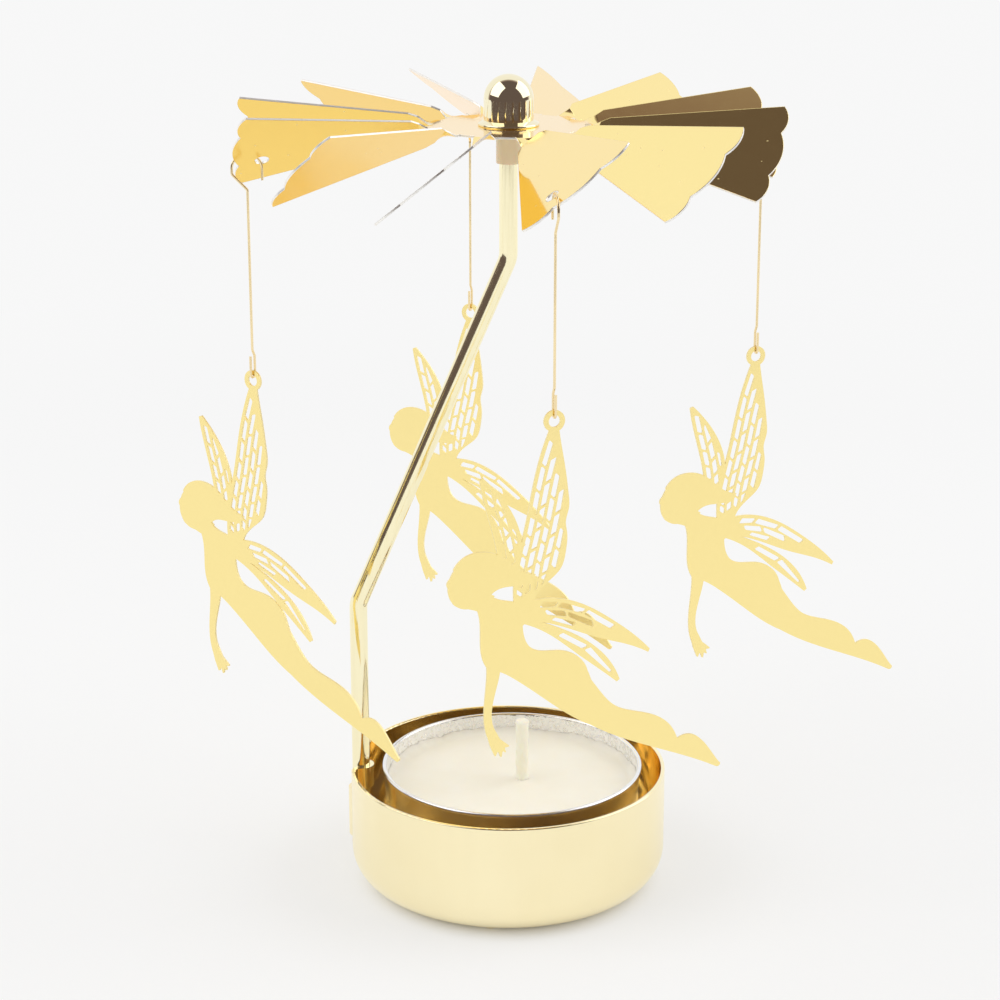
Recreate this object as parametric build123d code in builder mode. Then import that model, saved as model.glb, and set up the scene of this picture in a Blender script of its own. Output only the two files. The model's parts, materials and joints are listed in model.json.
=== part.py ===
from build123d import *
import os
from math import atan2, cos, degrees, hypot, radians, sin, sqrt

# Sizes are in millimetres and degrees; +Z is up and the spindle stands on the Z axis

# Gaps between pieces that are pressed together, and between pieces that rest or run on each other
press_gap = 0.02
rest_gap = 0.03

# Candle cup of the stand, drawn from sheet, with pressed feet
cup_radius = 23.25
cup_height = 17.1
cup_wall = 0.6
cup_corner_radius = 5.0
rim_rounding = 0.2
foot_count = 3
foot_height = 0.45
foot_radius = 0.9
foot_circle_radius = 18.0
foot_start_angle = 262.0

# Lanced socket in the cup's wall: a strip pressed in at the rim, and a strap pressed out below it
strip_height = 3.25
strap_height = 7.5
strap_bulge = 0.47
slit = 0.3
strip_bend_radius = 0.6

# Post of round rod with two bends
post_radius = 1.3
post_lower_bend_height = 42.85
post_upper_bend_height = 93.95
post_bend_radius = 4.0
post_end_chamfer = 0.25

# Plastic sleeve on the post's tip, and the steel needle in it
sleeve_foot_height = 107.25
sleeve_height = 3.8
sleeve_radius = 1.725
sleeve_socket_depth = 2.2
sleeve_rounding = 0.25
needle_radius = 0.45
needle_point_length = 1.6
needle_tip_radius = 0.06

# Hub of the fan: turned dome cap with a rolled neck, washer and bearing cup
sheet = 0.3
rotor_lift = 0.35
neck_radius = 2.45
neck_lip = 0.35
neck_lip_reach = 0.55
washer_radius = 3.9
washer_thickness = 0.4
dome_radius = 3.45
dome_height = 7.0
dome_roof = 2.0
flange_radius = 4.25
flange_edge = 0.35
flange_thickness = 0.75
flange_rounding = 0.14
bore_radius = 1.8
bearing_height = 2.0
dent_radius = 1.2
dent_depth = 1.2

# Fan: flat hub with pitched blades, each on a twisted neck, with a three-lobed outer edge
blade_count = 12
blade_start_angle = 13.0
blade_pitch = 38.8
blade_droop = 5.0
hub_radius = 10.5
tab_length = 0.6
twist_length = 1.6
blade_neck_width = 3.0
blade_root_flare = 1.1
blade_root_width = 4.8
blade_length = 23.9
blade_tip_width = 17.1
middle_lobe_width = 7.6
corner_lobe_bulge = 0.75
middle_lobe_bulge = 1.0
notch_reach = 0.6

# Hanging holes, one in every third blade, beside the notch of the trailing lobe
hung_blade_step = 3
hole_radius = 1.0
hole_inset = 3.1
hole_lead = 0.9

# Wire hooks: a round hook over the blade's edge, a straight shank and a narrow loop for the ring
wire_radius = 0.18
hook_radius = 2.05
hook_clearance = 0.1
hook_tail = 1.6
hook_limb = 0.7
hook_waist = 2.2
hook_bend_radius = 0.5
loop_clearance = 0.1
loop_length = 2.6
loop_jog = 0.9
loop_bend_radius = 0.3
loop_seat = 0.1

# Winged figures of flat sheet, hung by a ring above the taller wing
figure_blades = {"right": 0, "back": 1, "left": 2, "front": 3}
left_hang = 30.85
front_hang = 28.45
right_hang = 30.2
back_hang = 30.75
hang_lengths = {"left": left_hang, "front": front_hang, "right": right_hang, "back": back_hang}
figure_turns = {"left": -35.0, "front": 21.0, "right": 21.0, "back": -27.0}
figure_height = 50.5
ring_radius = 1.45
ring_hole_radius = 0.8
head_half_width = 3.0
head_half_length = 3.5
head_tilt = -28.0
finger_rounding = 0.12

# Veins of the wings: cells of one width run along the leading edge and grow longer towards the tip
vein = 0.32
wing_margin = 0.45
cell_width = 0.78
least_cell = 0.3
cell_rounding = 0.18
cell_slant = 0.3
cell_stagger = 0.62
cell_growth = 1.35

# Tea light: aluminium cup, wax, wick and wick holder
tealight_offset = 0.6
candle_gap = 3.4
tealight_height = 16.9
tealight_taper = 0.4
tealight_wall = 0.3
tealight_corner_radius = 1.4
tealight_bead_radius = 0.35
wax_depth = 14.0
meniscus_height = 0.7
meniscus_reach = 2.1
wick_offset = 1.5
wick_radius = 1.0
wick_height = 9.5
wick_rounding = 0.25
holder_radius = 6.0
holder_thickness = 0.3
holder_neck_height = 4.0
holder_neck_wall = 0.4

# Heights, radii and places that follow from the sizes above
rim_height = foot_height + cup_height
groove_radius = post_radius + press_gap
groove_outer_radius = groove_radius + cup_wall
post_offset = cup_radius + strap_bulge - groove_outer_radius
strip_foot = rim_height - strip_height
strap_foot = strip_foot - slit - strap_height
window_foot = strap_foot - slit
socket_half_width = groove_outer_radius + 2 * strip_bend_radius
post_top = sleeve_foot_height + sleeve_socket_depth
sleeve_top = sleeve_foot_height + sleeve_height
lip_foot = sleeve_top + rotor_lift
washer_foot = lip_foot + neck_lip
disc_foot = washer_foot + washer_thickness
disc_top = disc_foot + sheet
disc_middle = disc_foot + sheet / 2
dome_top = disc_top + dome_height
bore_top = dome_top - dome_roof
bearing_foot = bore_top - bearing_height
needle_tip = bearing_foot + dent_depth - rest_gap
floor_height = foot_height + cup_wall
low = (Align.CENTER, Align.CENTER, Align.MIN)

os.makedirs("parts", exist_ok=True)


def keep(piece, name):
    piece.part.label = name
    export_step(piece.part, f"parts/{name}.step")


def wall_segment():
    Circle(cup_radius)
    Circle(cup_radius - cup_wall, mode=Mode.SUBTRACT)
    with Locations((-cup_radius, 0)):
        Rectangle(cup_radius, 2 * socket_half_width, mode=Mode.INTERSECT)


# Cup: a drawn pan with a rounded foot, feet pressed out of its floor and a window lanced for the post
with BuildPart() as base_cup:
    with Locations((0, 0, foot_height)):
        Cylinder(cup_radius, cup_height, align=low)
    fillet(base_cup.edges().group_by(Axis.Z)[0], cup_corner_radius)
    offset(amount=-cup_wall, openings=base_cup.faces().sort_by(Axis.Z)[-1])
    fillet(base_cup.edges().group_by(Axis.Z)[-1], rim_rounding)
    foot_root = foot_height + cup_wall / 2
    with PolarLocations(foot_circle_radius, foot_count, start_angle=foot_start_angle):
        Cone(foot_radius, foot_radius + foot_root, foot_root, align=low)
    dimple_radius = foot_radius - cup_wall / 2
    with Locations((0, 0, cup_wall)):
        with PolarLocations(foot_circle_radius, foot_count, start_angle=foot_start_angle):
            Cone(dimple_radius, dimple_radius + foot_root, foot_root, align=low, mode=Mode.SUBTRACT)
    with BuildSketch(Plane.XY.offset(window_foot)):
        with Locations((-cup_radius, 0)):
            Rectangle(cup_radius, 2 * socket_half_width)
    extrude(amount=rim_height - window_foot, mode=Mode.SUBTRACT)

    # Strip at the rim, pressed in round the inner half of the rod
    with BuildSketch(Plane.XY.offset(strip_foot)) as strip:
        wall_segment()
        leg = cup_radius - cup_wall / 2 - post_offset
        with Locations((-post_offset - leg / 2, 0)):
            Rectangle(leg, 2 * groove_outer_radius)
        with Locations((-post_offset, 0)):
            Circle(groove_outer_radius)
            Circle(groove_radius, mode=Mode.SUBTRACT)
        with Locations((-post_offset - cup_radius / 2, 0)):
            Rectangle(cup_radius, 2 * groove_radius, mode=Mode.SUBTRACT)
        outer_corners = strip.vertices().filter_by(
            lambda v: hypot(v.X, v.Y) > cup_radius - cup_wall / 2 and abs(v.Y) < groove_outer_radius
        )
        fillet(outer_corners, min(strip_bend_radius + cup_wall, leg))
        inner_corners = strip.vertices().filter_by(
            lambda v: abs(abs(v.Y) - groove_outer_radius) < press_gap and v.X < -post_offset - leg / 4
        )
        fillet(inner_corners, min(strip_bend_radius, leg / 2))
    extrude(amount=strip_height)

    # Strap below it, pressed out round the outer half of the rod
    with BuildSketch(Plane.XY.offset(strap_foot)) as strap:
        wall_segment()
        with Locations((-post_offset, 0)):
            Circle(groove_outer_radius)
        Circle(cup_radius - cup_wall, mode=Mode.SUBTRACT)
        with Locations((-post_offset, 0)):
            Circle(groove_radius, mode=Mode.SUBTRACT)
        shoulders = strap.vertices().filter_by(
            lambda v: abs(hypot(v.X, v.Y) - cup_radius) < press_gap and abs(v.Y) < groove_outer_radius
        )
        fillet(shoulders, strip_bend_radius)
    extrude(amount=strap_height)
keep(base_cup, "base_cup")

# Post: one length of round rod that stands on the window's foot and leans in to the spindle axis
with BuildPart() as post:
    with BuildLine(Plane.XZ) as post_line:
        FilletPolyline(
            (-post_offset, window_foot + press_gap),
            (-post_offset, post_lower_bend_height),
            (0, post_upper_bend_height),
            (0, post_top),
            radius=post_bend_radius,
        )
    with BuildSketch(Plane(origin=post_line.line @ 0, z_dir=post_line.line % 0)):
        Circle(post_radius)
    sweep()
    chamfer(post.faces().filter_by(Axis.Z).edges(), post_end_chamfer)
keep(post, "post")

# Sleeve: a plastic cap on the post's tip with a bore for the needle
with BuildPart() as needle_sleeve:
    with Locations((0, 0, sleeve_foot_height)):
        Cylinder(sleeve_radius, sleeve_height, align=low)
        Cylinder(groove_radius, sleeve_socket_depth + press_gap, align=low, mode=Mode.SUBTRACT)
        Cylinder(needle_radius + press_gap, sleeve_height, align=low, mode=Mode.SUBTRACT)
    fillet(needle_sleeve.edges().group_by(Axis.Z)[-1].sort_by(SortBy.RADIUS)[-1], sleeve_rounding)
keep(needle_sleeve, "needle_sleeve")

# Needle: a steel pin, ground to a point, that stands on the post inside the sleeve
with BuildPart() as pivot_needle:
    needle_foot = post_top + press_gap
    needle_shoulder = needle_tip - needle_point_length
    with Locations((0, 0, needle_foot)):
        Cylinder(needle_radius, needle_shoulder - needle_foot, align=low)
    with Locations((0, 0, needle_shoulder)):
        Cone(needle_radius, needle_tip_radius, needle_point_length, align=low)
keep(pivot_needle, "pivot_needle")

# Dome cap: turned, with a sloped flange on the fan and a neck rolled out below the washer
with BuildPart() as dome_cap:
    with BuildSketch(Plane.XZ):
        with BuildLine():
            Polyline(
                (bore_radius, lip_foot),
                (neck_radius + neck_lip_reach, lip_foot),
                (neck_radius + neck_lip_reach, washer_foot),
                (neck_radius, washer_foot),
                (neck_radius, disc_top),
                (flange_radius, disc_top),
                (flange_radius, disc_top + flange_edge),
                (dome_radius, disc_top + flange_thickness),
                (dome_radius, dome_top - dome_radius),
            )
            RadiusArc((dome_radius, dome_top - dome_radius), (0, dome_top), -dome_radius)
            Polyline((0, dome_top), (0, bore_top), (bore_radius, bore_top), (bore_radius, lip_foot))
        make_face()
    revolve(axis=Axis.Z)
    flange_edges = dome_cap.edges().filter_by(GeomType.CIRCLE).sort_by(SortBy.RADIUS)[-2:]
    fillet(flange_edges, flange_rounding)
keep(dome_cap, "dome_cap")

# Washer under the fan's hub, held by the rolled neck
with BuildPart() as hub_washer:
    with Locations((0, 0, washer_foot)):
        Cylinder(washer_radius, washer_thickness, align=low)
        Cylinder(neck_radius + press_gap, washer_thickness, align=low, mode=Mode.SUBTRACT)
keep(hub_washer, "hub_washer")

# Bearing cup: pressed into the dome's bore, with a conical dent that rides on the needle
with BuildPart() as bearing_cup:
    with Locations((0, 0, bearing_foot)):
        Cylinder(bore_radius - press_gap, bearing_height, align=low)
        Cone(dent_radius, 0, dent_depth, align=low, mode=Mode.SUBTRACT)
keep(bearing_cup, "bearing_cup")

# Plane of a blade at angle 0: it leaves the twisted neck with its leading side up and its tip drooping
pitch = radians(blade_pitch)
droop = radians(blade_droop)
blade_along = Vector(cos(droop), 0, -sin(droop))
blade_up = Vector(sin(droop) * cos(pitch), -sin(pitch), cos(droop) * cos(pitch))
tab_end = hub_radius + tab_length
blade_root = (tab_end + twist_length, 0, disc_middle)
blade_plane = Plane(origin=blade_root, x_dir=blade_along, z_dir=blade_up)
notch_x = blade_length + notch_reach
notch_y = middle_lobe_width / 2
tip_y = blade_tip_width / 2
hole_x = notch_x - hole_inset
hole_y = hole_lead - notch_y


def blade(drilled):
    with BuildPart() as form:
        with BuildSketch(blade_plane.offset(-sheet / 2)):
            with BuildLine():
                Polyline(
                    (blade_length, tip_y),
                    (blade_root_flare, blade_root_width / 2),
                    (0, blade_neck_width / 2),
                    (0, -blade_neck_width / 2),
                    (blade_root_flare, -blade_root_width / 2),
                    (blade_length, -tip_y),
                )
                lobe_y = (tip_y + notch_y) / 2
                lobe_x = (blade_length + notch_x) / 2 + corner_lobe_bulge
                for side in (-1, 1):
                    ThreePointArc(
                        (blade_length, side * tip_y),
                        (lobe_x, side * lobe_y),
                        (notch_x, side * notch_y),
                    )
                ThreePointArc((notch_x, -notch_y), (notch_x + middle_lobe_bulge, 0), (notch_x, notch_y))
            make_face()
            if drilled:
                with Locations((hole_x, hole_y)):
                    Circle(hole_radius, mode=Mode.SUBTRACT)
        extrude(amount=sheet)
        with BuildSketch(Plane(origin=(tab_end, 0, disc_middle), x_dir=(0, 1, 0), z_dir=(1, 0, 0))):
            Rectangle(blade_neck_width, sheet)
        with BuildSketch(Plane(origin=blade_root, x_dir=blade_plane.y_dir, z_dir=blade_along)):
            Rectangle(blade_neck_width, sheet)
        loft(ruled=True)
    return form.part


# Fan: one sheet cut and bent into blades round a flat hub
plain_blade = blade(drilled=False)
hung_blade = blade(drilled=True)
with BuildPart() as fan:
    with BuildSketch(Plane.XY.offset(disc_foot)):
        Circle(hub_radius)
        with PolarLocations(tab_end / 2, blade_count, start_angle=blade_start_angle):
            Rectangle(tab_end, blade_neck_width)
        Circle(neck_radius + press_gap, mode=Mode.SUBTRACT)
    extrude(amount=sheet)
    for number in range(blade_count):
        angle = blade_start_angle + number * 360 / blade_count
        add(hung_blade if number % hung_blade_step == 0 else plain_blade, rotation=(0, 0, angle))
keep(fan, "fan")

# Where a hook hangs: over the bridge of sheet between its hole and the blade's edge
hole_point = blade_plane.from_local_coords((hole_x, hole_y, 0))
hole_distance = hypot(hole_point.X, hole_point.Y)
hole_angle = atan2(hole_point.Y, hole_point.X)
sheet_fall = (blade_up.X * cos(hole_angle) + blade_up.Y * sin(hole_angle)) / blade_up.Z
bridge_half = (hole_inset - hole_radius) / 2
hook_reach = hole_inset - bridge_half
hook_inside = hook_radius - (wire_radius + sheet / 2) / blade_up.Z - hook_clearance
hook_centre = -sheet_fall * hook_reach - sqrt(hook_inside**2 - bridge_half**2) + sheet / 2
loop_half_width = sheet / 2 + loop_clearance + wire_radius
loop_rise = ring_hole_radius + loop_seat


def hook_plane(blade_number):
    turn = hole_angle + radians(blade_start_angle + blade_number * hung_blade_step * 360 / blade_count)
    return Plane(
        origin=(hole_distance * cos(turn), hole_distance * sin(turn), hole_point.Z),
        x_dir=(cos(turn), sin(turn), 0),
        z_dir=(sin(turn), -cos(turn), 0),
    )


def figure_plane(place):
    turn = radians(figure_turns[place])
    return Plane(
        origin=hook_plane(figure_blades[place]).from_local_coords((hook_reach, -hang_lengths[place], 0)),
        x_dir=(cos(turn), sin(turn), 0),
        z_dir=(sin(turn), -cos(turn), 0),
    )


# Hooks: each is one wire, bent round the blade's edge above and into a loop across the figure below
for place, blade_number in figure_blades.items():
    above = hook_plane(blade_number)
    below = figure_plane(place)
    with BuildPart() as hook_wire:
        with BuildLine() as wire_line:
            limb_x = hook_reach + hook_radius
            tail_x = hook_reach - hook_radius
            tail_top = above.from_local_coords((tail_x, hook_centre, 0))
            hook_top = above.from_local_coords((hook_reach, hook_centre + hook_radius, 0))
            limb_top = above.from_local_coords((limb_x, hook_centre, 0))
            loop_top = loop_rise + loop_length
            Line(above.from_local_coords((tail_x, hook_centre - hook_tail, 0)), tail_top)
            ThreePointArc(tail_top, hook_top, limb_top)
            FilletPolyline(
                limb_top,
                above.from_local_coords((limb_x, hook_centre - hook_limb, 0)),
                above.from_local_coords((hook_reach, hook_centre - hook_limb - hook_waist, 0)),
                below.from_local_coords((0, loop_top + loop_jog, 0)),
                below.from_local_coords((0, loop_top, -loop_half_width)),
                below.from_local_coords((0, loop_rise, -loop_half_width)),
                radius=[hook_bend_radius, hook_bend_radius, loop_bend_radius, loop_bend_radius],
            )
            ThreePointArc(
                below.from_local_coords((0, loop_rise, -loop_half_width)),
                below.from_local_coords((0, loop_rise - loop_half_width, 0)),
                below.from_local_coords((0, loop_rise, loop_half_width)),
            )
            Line(
                below.from_local_coords((0, loop_rise, loop_half_width)),
                below.from_local_coords((0, loop_top, loop_half_width)),
            )
        with BuildSketch(Plane(origin=wire_line.line @ 0, z_dir=wire_line.line % 0)):
            Circle(wire_radius)
        sweep()
    keep(hook_wire, f"hook_wire_{place}")


# The figure is drawn in hundredths of its height, from the ring at the top of its taller wing
figure_unit = figure_height / 100


def drawn(*points):
    return [(x * figure_unit, y * figure_unit) for x, y in points]


# Wing between two edges that run from root to tip, pierced in columns of staggered cells
def wing(front_points, rear_points, first, last, columns, rows):
    with BuildSketch() as blank:
        with BuildLine():
            front = Spline(*front_points)
            rear = Spline(*rear_points)
            Line(front @ 0, rear @ 0)
            Line(front @ 1, rear @ 1)
        make_face()
        gap = vein / front.length
        for column in range(columns):
            near = wing_margin + column * (cell_width + vein)
            slant = cell_slant / front.length * (-1) ** column
            lag = column * cell_stagger % 1
            shares = [max(row - lag, 0) / rows for row in range(rows + 1)]
            joints = [first + (last - first) * share**cell_growth for share in shares] + [last]
            for start, end in zip(joints, joints[1:]):
                corners = []
                widths = []
                for along in (start + gap / 2, end - gap / 2):
                    near_across = rear @ (along + slant) - front @ (along + slant)
                    far_across = rear @ (along - slant) - front @ (along - slant)
                    far = min(near + cell_width, far_across.length - wing_margin)
                    widths.append(far - near)
                    corners.append(front @ (along + slant) + near_across * (near / near_across.length))
                    corners.append(front @ (along - slant) + far_across * (far / far_across.length))
                if min(widths) > least_cell and end - start > 2 * (gap + abs(slant)):
                    with BuildLine():
                        outline = (corners[0], corners[1], corners[3], corners[2])
                        FilletPolyline(*outline, radius=min(cell_rounding, min(widths) / 3), close=True)
                    make_face(mode=Mode.SUBTRACT)
    return blank.sketch


# Wings: two that stand up from the shoulder, and two that trail behind it
tall_wing = wing(
    drawn((-9.1, -49.1), (-9.5, -41.6), (-7.1, -28.3), (-4.6, -13.9), (-1.2, -2.2)),
    drawn((-4.0, -49.1), (-0.2, -42.8), (3.4, -39.2), (4.6, -34.4), (4.7, -29.9))
    + drawn((4.2, -26.7), (4.9, -23.4), (4.7, -19.6), (3.4, -12.0), (1.4, -2.2)),
    first=0.06,
    last=0.94,
    columns=5,
    rows=8,
)
slim_wing = wing(
    drawn((-13.7, -39.6), (-16.4, -26.5), (-18.8, -18.6), (-19.8, -14.1)),
    drawn((-8.7, -39.6), (-8.3, -28.9), (-11.9, -21.4), (-18.8, -13.7)),
    first=0.05,
    last=0.9,
    columns=4,
    rows=5,
)
upper_tail_wing = wing(
    drawn((-7.1, -48.3), (2.8, -47.5), (10.7, -50.1), (18.8, -55.0), (25.7, -60.2), (29.7, -64.0)),
    drawn((-6.3, -52.7), (5.0, -55.6), (14.6, -59.4), (22.8, -62.0), (29.3, -64.9)),
    first=0.12,
    last=0.95,
    columns=3,
    rows=4,
)
lower_tail_wing = wing(
    drawn((-8.3, -50.7), (3.0, -55.4), (11.3, -59.8), (16.6, -64.2), (21.4, -71.7)),
    drawn((-8.3, -53.1), (0.8, -57.2), (9.5, -63.8), (15.2, -68.1), (20.6, -72.3)),
    first=0.2,
    last=0.92,
    columns=2,
    rows=3,
)
with BuildSketch() as figure:
    # Dress, from the throat round the hem to the shoulder blade and the nape
    with BuildLine():
        Spline(*drawn((-19.6, -48.3), (-18.4, -53.1), (-18.0, -60.2), (-16.0, -65.1)))
        Spline(*drawn((-16.0, -65.1), (-12.3, -66.3), (-7.7, -69.1), (-1.2, -73.9), (13.3, -83.6)))
        Spline(*drawn((13.3, -83.6), (14.3, -76.4), (12.1, -68.3)))
        Spline(*drawn((12.1, -68.3), (8.8, -63.8), (4.6, -62.0), (-0.6, -61.6), (-6.7, -54.1)))
        Spline(*drawn((-6.7, -54.1), (-5.4, -51.6), (-6.7, -48.7), (-12.3, -46.7), (-16.2, -44.4)))
        Line(*drawn((-16.2, -44.4), (-19.6, -48.3)))
    make_face()
    # Legs, close together, with the foot stretched out behind the heel
    with BuildLine():
        Spline(*drawn((11.9, -69.3), (15.8, -74.3), (21.0, -79.4), (26.7, -81.4), (39.2, -90.6)))
        Spline(*drawn((39.2, -90.6), (43.6, -89.9), (47.1, -92.4), (52.5, -99.2)))
        Spline(*drawn((52.5, -99.2), (52.1, -100.0), (50.9, -99.9)))
        Spline(*drawn((50.9, -99.9), (39.6, -95.0), (25.7, -89.7), (12.9, -83.3)))
        Polyline(*drawn((12.9, -83.3), (9.9, -78.4), (11.9, -69.3)))
    make_face()
    # Arm that hangs from the shoulder
    with BuildLine():
        Spline(*drawn((-16.4, -63.4), (-16.2, -68.0), (-16.6, -75.0), (-16.4, -80.4), (-15.4, -84.2)))
        Line(*drawn((-15.4, -84.2), (-13.2, -82.6)))
        Spline(*drawn((-13.2, -82.6), (-14.2, -80.2), (-14.5, -77.6), (-14.0, -73.3), (-12.5, -65.5)))
        Line(*drawn((-12.5, -65.5), (-16.4, -63.4)))
    make_face()
    # Open hand
    wrist = drawn((-13.4, -82.2), (-15.8, -82.8), (-14.6, -86.6))
    fingers = drawn((-13.1, -89.9), (-12.4, -88.0), (-11.4, -90.7), (-11.1, -88.1), (-9.7, -89.7))
    thumb = drawn((-10.6, -87.4), (-9.0, -87.2), (-11.9, -84.9))
    with BuildLine():
        FilletPolyline(*wrist, *fingers, *thumb, radius=finger_rounding, close=True)
    make_face()
    # Head with a plain profile, on a short neck
    with Locations(*drawn((-21.3, -41.4))):
        Ellipse(head_half_width, head_half_length, rotation=head_tilt)
    with BuildLine():
        profile = drawn((-26.2, -39.0), (-27.3, -42.4), (-26.4, -43.6), (-26.2, -46.1), (-23.2, -47.8))
        Spline(*profile, *drawn((-19.6, -48.9)))
        Polyline(*drawn((-19.6, -48.9), (-14.7, -45.3), (-26.2, -39.0)))
    make_face()
    # Loose hair that streams back above the shoulder
    with BuildLine():
        Spline(*drawn((-26.2, -37.4), (-21.5, -33.5), (-14.6, -34.1), (-9.5, -37.8), (-3.6, -40.4)))
        Spline(*drawn((-3.6, -40.4), (-7.9, -43.0), (-12.3, -43.2), (-15.8, -45.0)))
        Line(*drawn((-15.8, -45.0), (-26.2, -37.4)))
    make_face()
    add(tall_wing)
    add(slim_wing)
    add(upper_tail_wing)
    add(lower_tail_wing)
    Circle(ring_radius)
    Circle(ring_hole_radius, mode=Mode.SUBTRACT)

# The figure hangs with its weight straight below the loop
swing_rise = loop_rise - loop_half_width
balance = figure.face().center(CenterOf.MASS)
lean = degrees(atan2(balance.X, swing_rise - balance.Y))
hung_figure = figure.sketch.rotate(Axis((0, swing_rise, 0), (0, 0, 1)), -lean)
for place in figure_turns:
    with BuildPart() as fairy:
        with BuildSketch(figure_plane(place).offset(-sheet / 2)):
            add(hung_figure)
        extrude(amount=sheet)
    keep(fairy, f"fairy_{place}")

# Tea light cup: drawn thin aluminium, slightly tapered, with a rolled bead at the rim
tealight_foot = floor_height + rest_gap
tealight_plane = Plane(origin=(tealight_offset, 0, tealight_foot), x_dir=(1, 0, 0), z_dir=(0, -1, 0))
tealight_axis = Axis((tealight_offset, 0, 0), (0, 0, 1))
tealight_rim_radius = cup_radius - cup_wall - candle_gap - tealight_bead_radius
tealight_foot_radius = tealight_rim_radius - tealight_taper
bead_height = tealight_height - tealight_bead_radius
inner_corner_radius = tealight_corner_radius - tealight_wall
with BuildPart() as tealight_cup:
    with BuildSketch(tealight_plane):
        with BuildLine():
            outer_line = FilletPolyline(
                (0, 0),
                (tealight_foot_radius, 0),
                (tealight_rim_radius, bead_height),
                radius=tealight_corner_radius,
            )
            inner_line = FilletPolyline(
                (0, tealight_wall),
                (tealight_foot_radius - tealight_wall, tealight_wall),
                (tealight_rim_radius - tealight_wall, bead_height),
                radius=inner_corner_radius,
            )
            Line(outer_line @ 0, inner_line @ 0)
            Line(outer_line @ 1, inner_line @ 1)
        make_face()
        with Locations((tealight_rim_radius, bead_height)):
            Circle(tealight_bead_radius)
    revolve(axis=tealight_axis)
keep(tealight_cup, "tealight_cup")

# Wick holder: a thin disc on the cup's floor with a neck round the wick
wick_x = tealight_offset + wick_offset
holder_foot = tealight_foot + tealight_wall + press_gap
holder_neck_radius = wick_radius + press_gap + holder_neck_wall
with BuildPart() as wick_sustainer:
    with Locations((wick_x, 0, holder_foot)):
        Cylinder(holder_radius, holder_thickness, align=low)
        Cylinder(holder_neck_radius, holder_neck_height, align=low)
        Cylinder(wick_radius + press_gap, holder_neck_height, align=low, mode=Mode.SUBTRACT)
keep(wick_sustainer, "wick_sustainer")

# Wick: a stiff cord through the holder, standing out of the wax
wick_top = tealight_foot + wax_depth + wick_height
with BuildPart() as wick:
    with Locations((wick_x, 0, holder_foot)):
        Cylinder(wick_radius, wick_top - holder_foot, align=low)
    fillet(wick.edges().group_by(Axis.Z)[-1], wick_rounding)
keep(wick, "wick")

# Wax: cast into the cup round the wick and its holder, drawn up a little at the wall
wall_slope = tealight_taper / (bead_height - tealight_wall)
wax_edge_height = wax_depth + meniscus_height
wax_foot_radius = tealight_foot_radius - tealight_wall - press_gap
wax_edge_radius = wax_foot_radius + wall_slope * (wax_edge_height - tealight_wall)
with BuildPart() as wax:
    with BuildSketch(tealight_plane):
        with BuildLine():
            FilletPolyline(
                (0, tealight_wall + press_gap),
                (wax_foot_radius, tealight_wall + press_gap),
                (wax_edge_radius, wax_edge_height),
                radius=inner_corner_radius,
            )
            TangentArc(
                (wax_edge_radius - meniscus_reach, wax_depth),
                (wax_edge_radius, wax_edge_height),
                tangent=(1, 0),
            )
            Polyline(
                (wax_edge_radius - meniscus_reach, wax_depth),
                (0, wax_depth),
                (0, tealight_wall + press_gap),
            )
        make_face()
    revolve(axis=tealight_axis)
    with Locations((wick_x, 0, tealight_foot)):
        Cylinder(wick_radius + press_gap, wax_edge_height, align=low, mode=Mode.SUBTRACT)
    with Locations((wick_x, 0, tealight_foot)):
        recess = tealight_wall + 2 * press_gap + holder_thickness
        Cylinder(holder_radius + press_gap, recess, align=low, mode=Mode.SUBTRACT)
        neck_recess = tealight_wall + 2 * press_gap + holder_neck_height
        Cylinder(holder_neck_radius + press_gap, neck_recess, align=low, mode=Mode.SUBTRACT)
keep(wax, "wax")
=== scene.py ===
import json
from math import cos, exp, pi, radians, sin

import bmesh
import bpy
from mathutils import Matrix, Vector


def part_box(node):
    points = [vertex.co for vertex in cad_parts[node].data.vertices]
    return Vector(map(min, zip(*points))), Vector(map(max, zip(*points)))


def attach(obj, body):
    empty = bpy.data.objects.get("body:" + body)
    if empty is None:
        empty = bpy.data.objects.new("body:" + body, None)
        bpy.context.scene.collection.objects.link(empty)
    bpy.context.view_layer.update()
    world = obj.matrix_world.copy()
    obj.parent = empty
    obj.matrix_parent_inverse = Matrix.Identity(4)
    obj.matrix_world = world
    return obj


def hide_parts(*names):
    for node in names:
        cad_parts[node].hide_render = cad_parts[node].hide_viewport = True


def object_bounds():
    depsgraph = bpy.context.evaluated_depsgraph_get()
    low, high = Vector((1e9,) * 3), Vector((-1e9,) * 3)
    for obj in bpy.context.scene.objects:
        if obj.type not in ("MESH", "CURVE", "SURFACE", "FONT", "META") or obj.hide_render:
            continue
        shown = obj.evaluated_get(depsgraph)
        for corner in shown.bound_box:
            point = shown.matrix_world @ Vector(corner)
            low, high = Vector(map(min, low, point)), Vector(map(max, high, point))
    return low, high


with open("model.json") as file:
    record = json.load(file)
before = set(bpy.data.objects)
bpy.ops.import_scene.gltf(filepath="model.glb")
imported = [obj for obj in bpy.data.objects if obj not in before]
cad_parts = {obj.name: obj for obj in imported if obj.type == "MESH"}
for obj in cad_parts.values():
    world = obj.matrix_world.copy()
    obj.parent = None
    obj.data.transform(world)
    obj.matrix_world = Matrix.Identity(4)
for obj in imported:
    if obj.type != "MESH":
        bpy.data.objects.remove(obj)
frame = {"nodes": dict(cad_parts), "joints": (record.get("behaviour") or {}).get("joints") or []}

cad_low, cad_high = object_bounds()

# Candle cup: one piece of thin brass sheet drawn to a shallow pot, plated pale gold, with three
# pressed feet and a lanced socket for the post. The outside is satin from the draw, while the inside
# and the rim are brighter.

whole = (0.0, 1.0)
noise_spread = (0.3, 0.7)
fine_depth = 0.0001


def shader_of(finish):
    """The main shader of a material."""
    return finish.node_tree.nodes["Principled BSDF"]


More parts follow.
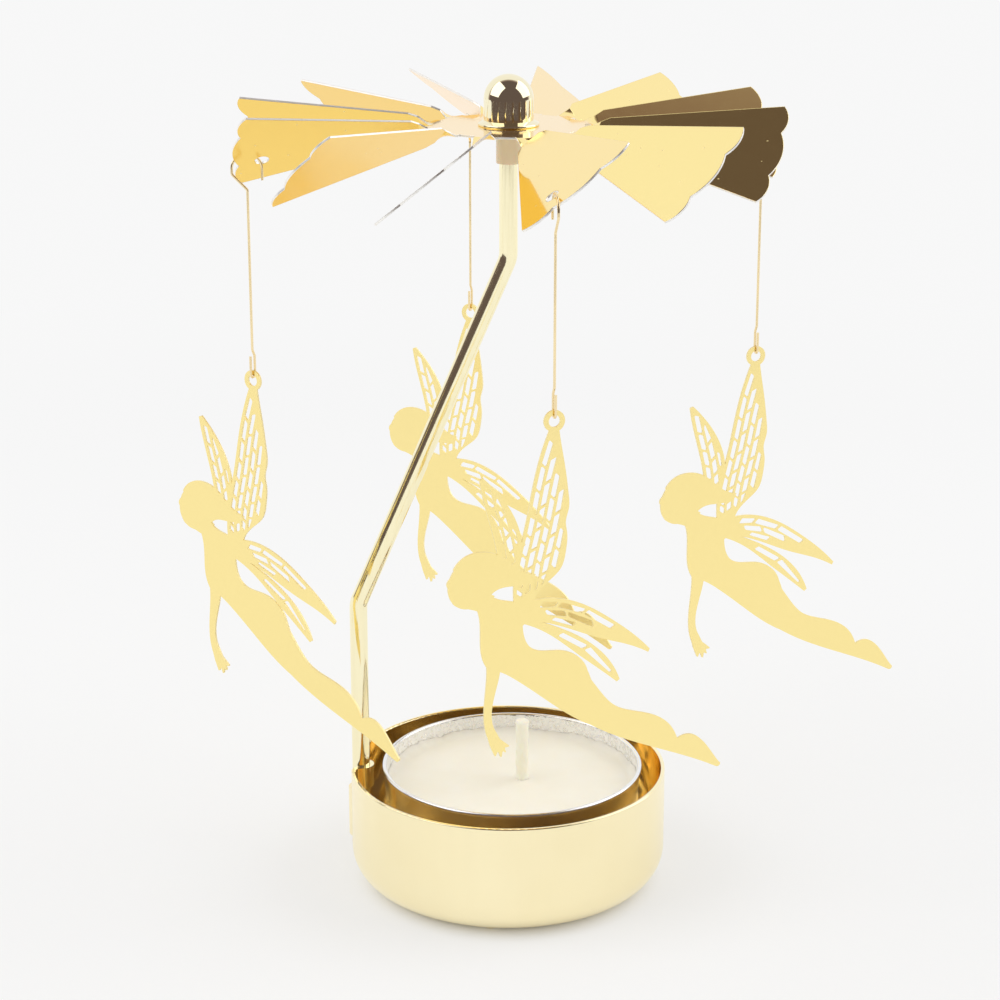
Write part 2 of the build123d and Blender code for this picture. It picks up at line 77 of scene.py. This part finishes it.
def new_finish(name, **sockets):
    """A material with these values on its shader's own sockets."""
    finish = bpy.data.materials.new(name)
    finish.use_nodes = True
    for socket, value in sockets.items():
        shader_of(finish).inputs[socket.replace("_", " ")].default_value = value
    return finish


def join(finish, output, socket):
    """Links an output to a socket in a material's tree."""
    finish.node_tree.links.new(output, socket)


def feed(finish, socket, output):
    """Links an output to one of the shader's own sockets."""
    join(finish, output, shader_of(finish).inputs[socket])


def add_node(finish, kind, inputs=None, **settings):
    """A node in a material's tree, with its settings and its inputs, which are values or outputs."""
    made = finish.node_tree.nodes.new("ShaderNode" + kind)
    for setting, value in settings.items():
        setattr(made, setting, value)
    for socket, value in (inputs or {}).items():
        if isinstance(value, bpy.types.NodeSocket):
            join(finish, value, made.inputs[socket])
        else:
            made.inputs[socket].default_value = value
    return made


def reckon(finish, operation, *numbers):
    """A sum of numbers, which are values or outputs."""
    return add_node(finish, "Math", dict(enumerate(numbers)), operation=operation).outputs[0]


def reckon_vector(finish, operation, *vectors):
    """A sum of vectors, which are values or outputs. A dot product or a length is a number."""
    outputs = add_node(finish, "VectorMath", dict(enumerate(vectors)), operation=operation).outputs
    return outputs["Value" if operation in ("DOT_PRODUCT", "LENGTH") else "Vector"]


def parts_of(finish, vector):
    """The X, Y and Z of a place or a direction."""
    return add_node(finish, "SeparateXYZ", {"Vector": vector}).outputs


def grain(finish, scale, stretch=(1.0, 1.0, 1.0), detail=4.0):
    """Noise in the object's own place, stretched by three factors, as rolled or drawn metal has."""
    place = add_node(finish, "TexCoord").outputs["Object"]
    spread = add_node(finish, "Mapping", {"Vector": place, "Scale": stretch}).outputs["Vector"]
    noise = add_node(finish, "TexNoise", {"Vector": spread, "Scale": scale, "Detail": detail})
    return noise.outputs["Fac"]


def between(finish, share, goal, spread=noise_spread, **settings):
    """A number that goes from one end of goal to the other while share crosses spread."""
    inputs = {"Value": share}
    inputs["From Min"], inputs["From Max"] = spread
    inputs["To Min"], inputs["To Max"] = goal
    return add_node(finish, "MapRange", inputs, **settings).outputs["Result"]


def two_tones(finish, share, first, second):
    """A colour that goes from first to second with share. Each is three numbers or an output."""
    inputs = {0: share}
    # The colours of a Mix node are its sockets 6 and 7, and their mix is its output 2.
    for socket, tone in ((6, first), (7, second)):
        inputs[socket] = tone if isinstance(tone, bpy.types.NodeSocket) else (*tone, 1.0)
    return add_node(finish, "Mix", inputs, data_type="RGBA").outputs[2]


def relief(finish, height, strength, depth=fine_depth, normal=None):
    """Fine unevenness of the surface, laid over its own direction or over the one given."""
    inputs = {"Height": height, "Strength": strength, "Distance": depth}
    if normal is not None:
        inputs["Normal"] = normal
    feed(finish, "Normal", add_node(finish, "Bump", inputs).outputs["Normal"])


def dress(name, finish):
    """Gives a CAD node its finish."""
    frame["nodes"][name].material_slots[0].material = finish


cup_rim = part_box("base_cup")[1].z
rim_height = 0.0003
satin_pale = (1.0, 0.90, 0.60)
satin_shade = (0.97, 0.86, 0.55)
bright_inside = (0.95, 0.82, 0.53)
satin_roughness = (0.21, 0.27)
# Roughness is multiplied by these, from the wall to the rim and from the inside to the outside.
rim_polish = (1.0, 0.4)
inside_polish = (0.3, 1.0)
draw_scale = 700.0
draw_stretch = (1.0, 1.0, 0.06)
draw_relief = 0.04
cloud_scale = 60.0
upward_counts_as_inside = -0.2
outer_band = (-0.1, -0.05)

# What looks away from the cup's middle, and the rim, is the outside.
cup_gold = new_finish("cup_gold", Metallic=1.0)
cup_skin = add_node(cup_gold, "TexCoord").outputs
cup_place = parts_of(cup_gold, cup_skin["Object"])
spoke = add_node(cup_gold, "CombineXYZ", {"X": cup_place["X"], "Y": cup_place["Y"]}).outputs["Vector"]
outward = reckon_vector(cup_gold, "NORMALIZE", spoke)
facing_out = reckon_vector(cup_gold, "DOT_PRODUCT", outward, cup_skin["Normal"])
facing_up = parts_of(cup_gold, cup_skin["Normal"])["Z"]
turned_out = reckon(cup_gold, "MULTIPLY_ADD", facing_up, upward_counts_as_inside, facing_out)
outer_skin = between(cup_gold, turned_out, whole, outer_band)
rim_line = between(cup_gold, cup_place["Z"], whole, (cup_rim - rim_height, cup_rim - rim_height / 2))
outside = reckon(cup_gold, "MAXIMUM", outer_skin, rim_line)
draw_lines = grain(cup_gold, draw_scale, draw_stretch)
cloudy = between(cup_gold, grain(cup_gold, cloud_scale), whole)
satin = two_tones(cup_gold, cloudy, satin_pale, satin_shade)
feed(cup_gold, "Base Color", two_tones(cup_gold, outside, bright_inside, satin))
drawn_roughness = between(cup_gold, draw_lines, satin_roughness)
rim_share = between(cup_gold, rim_line, rim_polish, whole)
inside_share = between(cup_gold, outside, inside_polish, whole)
worn_roughness = reckon(cup_gold, "MULTIPLY", drawn_roughness, rim_share)
feed(cup_gold, "Roughness", reckon(cup_gold, "MULTIPLY", worn_roughness, inside_share))
relief(cup_gold, reckon(cup_gold, "MULTIPLY", draw_lines, outside), draw_relief)
dress("base_cup", cup_gold)

# Post: round brass rod, bent twice so that its top stands over the middle of the cup, and plated.
# It is pushed down behind the socket's strap, and carries the pivot at its tip.


def streaked_metal(name, scale, stretch, tones, roughness, strength=0.0, depth=fine_depth):
    """A metal whose tone, gloss and, where it has a strength, relief follow the streaks of its making."""
    metal = new_finish(name, Metallic=1.0)
    streaks = grain(metal, scale, stretch)
    feed(metal, "Base Color", two_tones(metal, streaks, *tones))
    feed(metal, "Roughness", between(metal, streaks, roughness))
    if strength:
        relief(metal, streaks, strength, depth)
    return metal


post_tones = ((0.99, 0.93, 0.66), (0.93, 0.84, 0.54))
post_roughness = (0.06, 0.13)
die_scale = 2200.0
die_stretch = (1.0, 1.0, 0.04)
die_relief = 0.06

post_gold = streaked_metal("post_gold", die_scale, die_stretch, post_tones, post_roughness, die_relief)
dress("post", post_gold)

# Sleeve: a short tube of moulded plastic, pressed on the post's tip. It holds the needle upright.
# The plastic lets a little light in, and its flow in the mould left faint streaks.

sleeve_pale = (0.86, 0.73, 0.52)
sleeve_shade = (0.77, 0.64, 0.45)
flow_scale = 900.0
flow_stretch = (1.0, 1.0, 0.4)
flow_relief = 0.15

sleeve_plastic = new_finish(
    "sleeve_plastic", Roughness=0.24, Subsurface_Weight=0.15, Subsurface_Scale=0.0008)
flow = grain(sleeve_plastic, flow_scale, flow_stretch)
feed(sleeve_plastic, "Base Color", two_tones(sleeve_plastic, flow, sleeve_pale, sleeve_shade))
relief(sleeve_plastic, flow, flow_relief)
dress("needle_sleeve", sleeve_plastic)

# Needle: a pin of ground steel, pressed into the sleeve with its point up. The whole fan turns on
# this point.

steel_tones = ((0.62, 0.62, 0.63), (0.50, 0.50, 0.52))
steel_roughness = (0.15, 0.3)
ground_scale = 4000.0
ground_stretch = (1.0, 1.0, 0.1)

needle_steel = streaked_metal("needle_steel", ground_scale, ground_stretch, steel_tones, steel_roughness)
dress("pivot_needle", needle_steel)

# Fan: one disc of thin brass sheet, plated bright on top and deeper gold below, lacquered, then cut
# into twelve blades with a scalloped end, each twisted to one pitch. The cut leaves a bare bright edge,
# a little rounded, and a few specks of dust lie on the blades.

face_limit = 0.7


def sheet_side(finish, agreement):
    """1 on the narrow sides of a sheet, where the skin no longer agrees with the sheet's direction."""
    return reckon(finish, "LESS_THAN", reckon(finish, "ABSOLUTE", agreement), face_limit)


blade_count = 12
blade_step = 2 * pi / blade_count
blade_start = radians(13.0)
blade_pitch = radians(38.8)
blade_droop = radians(5.0)
blade_up = (sin(blade_droop) * cos(blade_pitch), -sin(blade_pitch), cos(blade_droop) * cos(blade_pitch))
fan_top = (1.0, 0.825, 0.35)
fan_below = (0.955, 0.66, 0.12)
bare_edge = (0.93, 0.92, 0.88)
speck_tone = (1.0, 0.85, 0.43)
glancing_tint = (1.0, 0.885, 0.80, 1.0)
bright_roughness = (0.05, 0.1)
satin_below = 0.12
edge_roughness = 0.3
speck_roughness = 0.6
speck_scale = 420.0
speck_edge = (0.045, 0.065)
fading = (1.0, 0.0)
roll_scale = 500.0
roll_relief = 0.01
edge_wear = 0.00012
edge_samples = 8

# The skin's direction is turned back by the nearest blade's bearing, so one blade_up serves all blades.
fan_gold = new_finish(
    "fan_gold", Metallic=1.0, Specular_Tint=glancing_tint, Coat_Weight=0.65, Coat_Roughness=0.14)
fan_skin = add_node(fan_gold, "TexCoord").outputs
fan_place = parts_of(fan_gold, fan_skin["Object"])
bearing = reckon(fan_gold, "ARCTAN2", fan_place["Y"], fan_place["X"])
from_first = reckon(fan_gold, "SUBTRACT", bearing, blade_start)
nearest_blade = reckon(fan_gold, "ROUND", reckon(fan_gold, "DIVIDE", from_first, blade_step))
blade_turn = reckon(fan_gold, "MULTIPLY_ADD", nearest_blade, blade_step, blade_start)
blade_skin = {"Vector": fan_skin["Normal"], "Angle": blade_turn}
turned_back = add_node(fan_gold, "VectorRotate", blade_skin, rotation_type="Z_AXIS", invert=True)
on_face = reckon_vector(fan_gold, "DOT_PRODUCT", turned_back.outputs["Vector"], blade_up)
cut_edge = sheet_side(fan_gold, on_face)
upper = reckon(fan_gold, "GREATER_THAN", on_face, 0.0)
rolled = grain(fan_gold, roll_scale)
specks = add_node(fan_gold, "TexVoronoi", {"Vector": fan_skin["Object"], "Scale": speck_scale})
dust = between(fan_gold, specks.outputs["Distance"], fading, speck_edge)
plating = two_tones(fan_gold, upper, fan_below, fan_top)
dusty_plating = two_tones(fan_gold, dust, plating, speck_tone)
feed(fan_gold, "Base Color", two_tones(fan_gold, cut_edge, dusty_plating, bare_edge))
rolled_roughness = between(fan_gold, rolled, bright_roughness)
dust_roughness = reckon(fan_gold, "MULTIPLY", dust, speck_roughness)
dull = reckon(fan_gold, "MAXIMUM", dust_roughness, rolled_roughness)
softer = reckon(fan_gold, "MULTIPLY_ADD", upper, -satin_below, satin_below)
face_roughness = reckon(fan_gold, "ADD", dull, softer)
feed(fan_gold, "Roughness", reckon(fan_gold, "MULTIPLY_ADD", cut_edge, edge_roughness, face_roughness))
worn_edge = add_node(fan_gold, "Bevel", {"Radius": edge_wear}, samples=edge_samples)
relief(fan_gold, rolled, roll_relief, normal=worn_edge.outputs["Normal"])
dress("fan", fan_gold)

# Hub: a domed cap, turned from brass and polished bright, and a washer below it pinch the fan's middle.
# The cap's neck is rolled over under the washer. A small bearing cup inside the dome rides on the needle.

dome_tones = ((0.95, 0.89, 0.66), (0.90, 0.82, 0.56))
dome_roughness = (0.03, 0.06)
lathe_scale = 9000.0
lathe_stretch = (0.02, 0.02, 1.0)
lathe_relief = 0.015
lathe_depth = 0.00005

dome_gold = streaked_metal(
    "dome_gold", lathe_scale, lathe_stretch, dome_tones, dome_roughness, lathe_relief, lathe_depth)
for name in ("dome_cap", "hub_washer", "bearing_cup"):
    dress(name, dome_gold)

# Hook wires: spring brass wire, each bent to an open hook above and a closed loop below. The hook
# goes through the hole in a blade.

places = ("left", "front", "right", "back")
wire_tones = ((0.95, 0.79, 0.49), (0.86, 0.69, 0.40))
wire_roughness = (0.12, 0.26)
wire_scale = 2500.0
wire_stretch = (1.0, 1.0, 0.06)

wire_gold = streaked_metal("wire_gold", wire_scale, wire_stretch, wire_tones, wire_roughness)
for place in places:
    dress("hook_wire_" + place, wire_gold)

# Figures: winged dancers etched out of thin brass sheet, with veined wings and a ring at the top, and
# plated a pale satin gold. Each hangs by its ring in a wire's loop. The etched sides are duller than
# the faces.

figure_tones = ((1.0, 0.83, 0.37), (0.98, 0.81, 0.35))
figure_side = (1.0, 0.88, 0.5)
figure_roughness = (0.2, 0.24)
side_roughness = 0.35
etch_scale = 3000.0
etch_relief = 0.008
etch_depth = 0.00005
swing_axes = {joint["name"]: joint["axis"] for joint in frame["joints"]}

for place in places:
    figure_gold = new_finish("figure_gold_" + place, Metallic=1.0)
    etched = grain(figure_gold, etch_scale)
    face_tone = two_tones(figure_gold, etched, *figure_tones)
    figure_skin = add_node(figure_gold, "TexCoord").outputs["Normal"]
    flat = reckon_vector(figure_gold, "DOT_PRODUCT", figure_skin, swing_axes["figure_swing_" + place])
    etched_side = sheet_side(figure_gold, flat)
    feed(figure_gold, "Base Color", two_tones(figure_gold, etched_side, face_tone, figure_side))
    satin_face = between(figure_gold, etched, figure_roughness)
    duller_side = reckon(figure_gold, "MULTIPLY_ADD", etched_side, side_roughness, satin_face)
    feed(figure_gold, "Roughness", duller_side)
    relief(figure_gold, etched, etch_relief, etch_depth)
    dress("fairy_" + place, figure_gold)

# Tea light cup: thin aluminium pressed to a pot with a rolled rim, bright outside, with a film of
# splashed wax on its inner wall. The wick's small holder, of like metal, stands on its floor. The
# tea light drops loose into the candle cup.

foil_low, foil_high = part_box("tealight_cup")
foil_middle = (foil_low + foil_high) / 2
foil_radius = (foil_high.x - foil_low.x) / 2
foil_tone = (0.87, 0.87, 0.88)
foil_shade = (0.86, 0.86, 0.87)
foil_roughness = (0.2, 0.23)
press_scale = 1100.0
press_stretch = (1.0, 1.0, 0.25)
press_relief = 0.006
facing_in = -0.5 * foil_radius
wax_film = (0.95, 0.94, 0.91)
metal_under_film = (1.0, 0.15)
film_roughness = 0.2
splash_scale = 1500.0
splash_detail = 8.0
splash_edge = (0.42, 0.58)

aluminium = new_finish("tealight_aluminium")
pressed = grain(aluminium, press_scale, press_stretch)
foil = two_tones(aluminium, between(aluminium, pressed, whole), foil_tone, foil_shade)
foil_skin = add_node(aluminium, "TexCoord").outputs
foil_spoke = reckon_vector(aluminium, "SUBTRACT", foil_skin["Object"], (foil_middle.x, foil_middle.y, 0.0))
foil_out = reckon_vector(aluminium, "DOT_PRODUCT", foil_spoke, foil_skin["Normal"])
inner_wall = reckon(aluminium, "LESS_THAN", foil_out, facing_in)
splashes = between(aluminium, grain(aluminium, splash_scale, detail=splash_detail), whole, splash_edge)
film = reckon(aluminium, "MULTIPLY", inner_wall, splashes)
feed(aluminium, "Base Color", two_tones(aluminium, film, foil, wax_film))
feed(aluminium, "Metallic", between(aluminium, film, metal_under_film, whole))
pressed_roughness = between(aluminium, pressed, foil_roughness)
feed(aluminium, "Roughness", reckon(aluminium, "MULTIPLY_ADD", film, film_roughness, pressed_roughness))
relief(aluminium, pressed, press_relief)
dress("tealight_cup", aluminium)
dress("wick_sustainer", aluminium)

# Wick: cotton braided round, soaked in wax so that it stands stiff, and cut off above the candle.
# It stands in the holder, to one side of the candle's middle.


def round_turns(sides):
    """Even steps of one full turn."""
    return [2 * pi * k / sides for k in range(sides)]


def closed_skin(name, rings, finish):
    """A closed body through rings of points, from its foot to its top, with a face over each end."""
    body = bmesh.new()
    loops = [[body.verts.new(point) for point in ring] for ring in rings]
    for lower_loop, upper_loop in zip(loops, loops[1:]):
        for k, corner in enumerate(lower_loop):
            after = (k + 1) % len(lower_loop)
            body.faces.new((corner, lower_loop[after], upper_loop[after], upper_loop[k])).smooth = True
    body.faces.new(reversed(loops[0]))
    body.faces.new(loops[-1])
    mesh = bpy.data.meshes.new(name)
    body.to_mesh(mesh)
    body.free()
    mesh.materials.append(finish)
    made = bpy.data.objects.new(name, mesh)
    bpy.context.collection.objects.link(made)
    return made


wick_low, wick_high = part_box("wick")
wick_middle = (wick_low + wick_high) / 2
wick_radius = (wick_high.x - wick_low.x) / 2
braid_pitch = 0.0022
braid_strands = 4
braid_depth = 0.022
wick_rounding = 0.00025
wick_shoulder = wick_high.z - wick_rounding
wick_steps = 150
rounding_steps = 3
wick_sides = 40
wick_pale = (1.0, 0.96, 0.85)
wick_shade = (0.95, 0.89, 0.75)
wick_glow = (1.0, 0.8, 0.5)
fibre_scale = 5000.0
fibre_stretch = (1.0, 1.0, 0.3)
fibre_relief = 0.3


def wick_ring(height, narrowing):
    """Points round the wick at one height, swelled where its strands cross."""
    ring = []
    for turn in round_turns(wick_sides):
        crossing = cos(braid_strands * turn) * cos(2 * pi * height / braid_pitch)
        reach = wick_radius * (1 - 2 * braid_depth + 2 * braid_depth * crossing) - narrowing
        ring.append((wick_middle.x + reach * cos(turn), wick_middle.y + reach * sin(turn), height))
    return ring


wick_rings = []
for step in range(wick_steps + 1):
    wick_rings.append(wick_ring(wick_low.z + (wick_shoulder - wick_low.z) * step / wick_steps, 0.0))
for step in range(1, rounding_steps + 1):
    lean = radians(90.0 * step / rounding_steps)
    wick_rings.append(wick_ring(wick_shoulder + wick_rounding * sin(lean), wick_rounding * (1 - cos(lean))))

candle_wick = new_finish(
    "candle_wick", Roughness=0.5, Subsurface_Weight=0.5,
    Subsurface_Scale=0.001, Subsurface_Radius=wick_glow)
fibres = grain(candle_wick, fibre_scale, fibre_stretch)
feed(candle_wick, "Base Color", two_tones(candle_wick, fibres, wick_pale, wick_shade))
relief(candle_wick, fibres, fibre_relief)
braided_wick = closed_skin("braided_wick", wick_rings, candle_wick)
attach(braided_wick, "tealight")
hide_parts("wick")

# Wax: paraffin poured into the cup round the wick. It sinks a little as it sets, and clings to the wall
# and the wick in a thin uneven edge.

wax_low, wax_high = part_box("wax")
wax_middle = (wax_low + wax_high) / 2
wax_radius = (wax_high.x - wax_low.x) / 2
wax_taper = 0.0004
wax_foot_radius = wax_radius - wax_taper
wax_corner = 0.0011
wax_corner_cut = 0.3 * wax_corner
wax_edge = 0.0007
wax_edge_reach = 0.0018
wax_flat_radius = wax_radius - wax_edge_reach
wax_inner_radius = 0.8 * wick_radius
wax_level = wax_high.z - wax_edge
wax_sides = 256
edge_steps = 8
edge_crowding = 1.5
flat_steps = 24
flat_crowding = 0.8
sink_depth = 0.00018
sink_reach = 0.006
wick_cling = 0.0004
wick_cling_reach = 0.0005
# Each wave of the edge has a count round the candle, a start and a share of the edge's height.
edge_waves = (
    (3, 1.0, 0.20), (7, 2.3, 0.16), (13, 0.7, 0.14), (23, 4.1, 0.12), (41, 2.9, 0.10), (67, 1.7, 0.08))
wax_pale = (0.97, 0.93, 0.83)
wax_shade = (0.95, 0.90, 0.78)
wax_glow = (1.0, 0.85, 0.6)
wax_roughness = (0.32, 0.5)
cast_scale = 150.0
cast_relief = 0.12
cast_depth = 0.0003
crystal_scale = 2500.0


def wax_ring(radius, rise):
    """Points over the candle at one radius. They close round the wick within and the wall without."""
    share = min(radius / wax_radius, 1.0)
    centre = wick_middle.lerp(wax_middle, share)
    from_wick = max(radius - wick_radius, 0.0)
    dip = wick_cling * exp(-from_wick / wick_cling_reach) - sink_depth * exp(-((radius / sink_reach) ** 2))
    ring = []
    for turn in round_turns(wax_sides):
        wave = sum(height * sin(count * turn + start) for count, start, height in edge_waves)
        climb = wax_edge * (1.0 + wave) * rise
        ring.append((centre.x + radius * cos(turn), centre.y + radius * sin(turn), wax_level + dip + climb))
    return ring


def wax_wall(radius, height):
    """Points round the candle against the cup's wall, at one height."""
    ring = []
    for turn in round_turns(wax_sides):
        ring.append((wax_middle.x + radius * cos(turn), wax_middle.y + radius * sin(turn), height))
    return ring


wax_rings = [wax_wall(wax_foot_radius - wax_corner, wax_low.z)]
wax_rings.append(wax_wall(wax_foot_radius - wax_corner_cut, wax_low.z + wax_corner_cut))
wax_rings.append(wax_wall(wax_foot_radius, wax_low.z + wax_corner))
for step in range(edge_steps + 1):
    inward = (step / edge_steps) ** edge_crowding
    wax_rings.append(wax_ring(wax_radius - wax_edge_reach * inward, (1.0 - inward) ** 2))
for step in range(1, flat_steps + 1):
    inward = (step / flat_steps) ** flat_crowding
    wax_rings.append(wax_ring(wax_flat_radius + (wax_inner_radius - wax_flat_radius) * inward, 0.0))

candle_wax = new_finish(
    "candle_wax", Subsurface_Weight=0.25, Subsurface_Scale=0.002, Subsurface_Radius=wax_glow)
cast = grain(candle_wax, cast_scale)
crystals = grain(candle_wax, crystal_scale)
wax_tone = two_tones(candle_wax, between(candle_wax, cast, whole), wax_pale, wax_shade)
feed(candle_wax, "Base Color", wax_tone)
feed(candle_wax, "Roughness", between(candle_wax, crystals, wax_roughness))
relief(candle_wax, cast, cast_relief, cast_depth)
poured_wax = closed_skin("poured_wax", wax_rings, candle_wax)
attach(poured_wax, "tealight")
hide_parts("wax")

# Floor: pale paper on a table, which runs back into the backdrop and ends in front, where the dim room
# begins. It shines by itself, not at all under the cup, half beside it and wholly farther out, so that
# a soft shadow stays.


def send_mix(owner, share, first, second, end):
    """Sends the end node of a material or the world a mix of two shaders, from first to second."""
    mix = add_node(owner, "MixShader", {0: share, 1: first, 2: second}).outputs[0]
    join(owner, mix, owner.node_tree.nodes[end].inputs["Surface"])


pale = (0.935, 0.935, 0.935)
paper = (0.9, 0.9, 0.9)
floor_reach = 3.0
table_reach = 0.68
front_limit = -0.01
floor_sides = 64
near_glow = (0.0, 0.5)
near_band = (0.018, 0.023)
far_band = (0.12, 0.4)
glow_in_metal = (1.0, 1.08)

corners = []
for turn in round_turns(floor_sides):
    reach = floor_reach if sin(turn) > front_limit else table_reach
    corners.append((reach * cos(turn), reach * sin(turn), 0.0))
floor_mesh = bpy.data.meshes.new("floor")
floor_mesh.from_pydata(corners, [], [list(range(floor_sides))])
floor = bpy.data.objects.new("floor", floor_mesh)
bpy.context.collection.objects.link(floor)

floor_paper = new_finish("floor_paper", Roughness=0.9, Specular_IOR_Level=0.0, Base_Color=(*paper, 1.0))
floor_place = add_node(floor_paper, "TexCoord").outputs["Object"]
floor_distance = reckon_vector(floor_paper, "LENGTH", floor_place)
near = between(floor_paper, floor_distance, near_glow, near_band)
far = between(floor_paper, floor_distance, whole, far_band, interpolation_type="SMOOTHSTEP")
glow_share = reckon(floor_paper, "MAXIMUM", near, far)
floor_ray = add_node(floor_paper, "LightPath").outputs["Is Glossy Ray"]
glow_strength = between(floor_paper, floor_ray, glow_in_metal, whole)
glow = add_node(floor_paper, "Emission", {"Color": (*pale, 1.0), "Strength": glow_strength}).outputs[0]
send_mix(floor_paper, glow_share, shader_of(floor_paper).outputs[0], glow, "Material Output")
floor_mesh.materials.append(floor_paper)

# Studio: a pale backdrop, a soft box on each side, and a dim room behind the camera and overhead, which
# polished metal shows as dark patches.

ambient_light = 0.66
room_tone = (0.128, 0.097, 0.094)
room_wall = (0.22, 0.153, 0.148)
backdrop_side = (0.52, 0.46, 0.43)
backdrop = (0.975, 0.975, 0.975)
# Each stop is how far a direction points to the backdrop, and what polished metal sees there.
first_stop = (0.09, room_tone)
last_stop = (0.34, backdrop)
middle_stops = ((0.16, room_wall), (0.27, backdrop_side))

world = bpy.data.worlds.new("studio")
bpy.context.scene.world = world
world.use_nodes = True
world.cycles.sampling_method = "NONE"
ambient = world.node_tree.nodes["Background"]
ambient.inputs["Color"].default_value = (1.0, 1.0, 1.0, 1.0)
ambient.inputs["Strength"].default_value = ambient_light
# The camera sees a plain pale backdrop, polished metal sees the room, and all else gets an even light.
ray = add_node(world, "LightPath").outputs
direction = add_node(world, "TexCoord").outputs["Generated"]
surroundings = add_node(world, "ValToRGB", {"Fac": parts_of(world, direction)["Y"]})
stops = surroundings.color_ramp.elements
for stop, (position, stop_tone) in zip(stops, (first_stop, last_stop)):
    stop.position = position
    stop.color = (*stop_tone, 1.0)
for position, stop_tone in middle_stops:
    stops.new(position).color = (*stop_tone, 1.0)
seen_tone = two_tones(world, ray["Is Camera Ray"], surroundings.outputs["Color"], pale)
seen = add_node(world, "Background", {"Color": seen_tone, "Strength": 1.0})
seen_first = reckon(world, "MAXIMUM", ray["Is Camera Ray"], ray["Is Glossy Ray"])
seen_ray = reckon(world, "MAXIMUM", seen_first, ray["Is Transmission Ray"])
send_mix(world, seen_ray, ambient.outputs[0], seen.outputs[0], "World Output")


def soft_box(name, place, size, watts):
    """A square lamp that looks at the object's middle."""
    lamp = bpy.data.lights.new(name, "AREA")
    lamp.shape = "SQUARE"
    lamp.size = size
    lamp.energy = watts
    box = bpy.data.objects.new(name, lamp)
    bpy.context.collection.objects.link(box)
    box.location = place
    target = (cad_low + cad_high) / 2
    box.rotation_euler = (target - box.location).to_track_quat("-Z", "Y").to_euler()


soft_box("soft_box_left", place=(-0.77, -0.22, 0.78), size=1.05, watts=5.0)
soft_box("soft_box_right", place=(0.84, 0.05, 0.66), size=1.0, watts=4.4)

# Camera: a long lens a little above the fan, square to the object and tilted down to its middle. Light
# bounces often enough to go from blade to blade.

camera_place = (-0.00118, -0.3427, 0.16525)
camera_tilt = 17.294
camera_lens = 89.95
sensor_width = 36.0
nearest_seen = 0.01
light_bounces = 24
mirror_bounces = 16

camera = bpy.data.objects.new("camera", bpy.data.cameras.new("camera"))
bpy.context.collection.objects.link(camera)
camera.location = camera_place
camera.rotation_euler = (radians(90.0 - camera_tilt), 0.0, 0.0)
camera.data.sensor_width = sensor_width
camera.data.lens = camera_lens
camera.data.clip_start = nearest_seen
bpy.context.scene.camera = camera
bpy.context.scene.view_settings.view_transform = "Standard"
bpy.context.scene.cycles.max_bounces = light_bounces
bpy.context.scene.cycles.glossy_bounces = mirror_bounces
